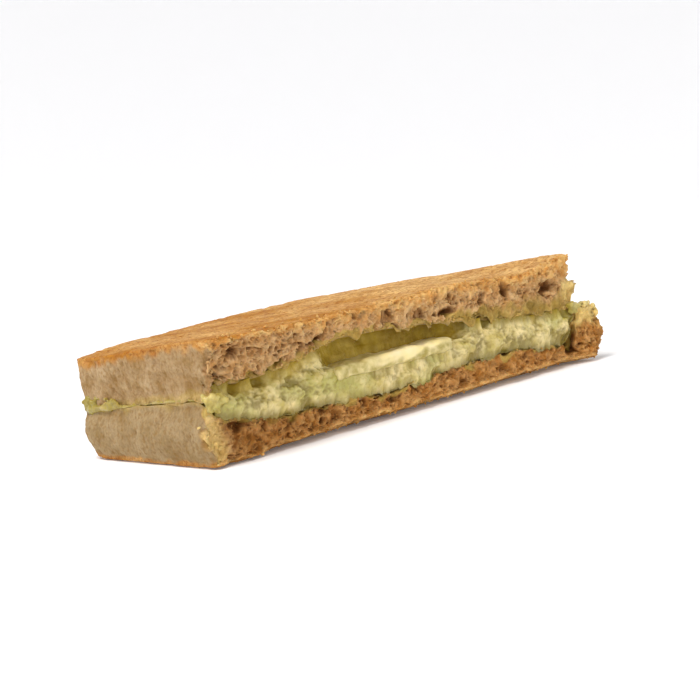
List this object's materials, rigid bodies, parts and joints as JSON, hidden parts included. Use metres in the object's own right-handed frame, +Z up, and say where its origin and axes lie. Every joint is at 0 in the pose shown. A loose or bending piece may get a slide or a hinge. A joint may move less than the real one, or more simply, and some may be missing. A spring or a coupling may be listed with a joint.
{
  "type": "kaya toast",
  "caption": "Trimmed half of a kaya toast sandwich lying flat: toasted bread slices around curdled pandan kaya and a slab of butter, open at the torn cut face.",
  "frame": {"origin": "middle of the bounding box at the lower toasted face, which the half rests on", "axes": "+X along the knife cut from the left trimmed end to the right end, +Y from the cut face to the trimmed back, +Z up"},
  "size_m": [0.11, 0.0532, 0.0253],
  "materials": {
    "bread": "toasted golden faces, trimmed beige sides and torn brown crumb",
    "kaya": "moist curdled spread, tan green",
    "butter": "soft satin, pale yellow"
  },
  "bodies": {
    "root": {"lower_slice": "bread", "upper_slice": "bread", "kaya": "kaya", "butter": "butter"}
  },
  "joints": []
}
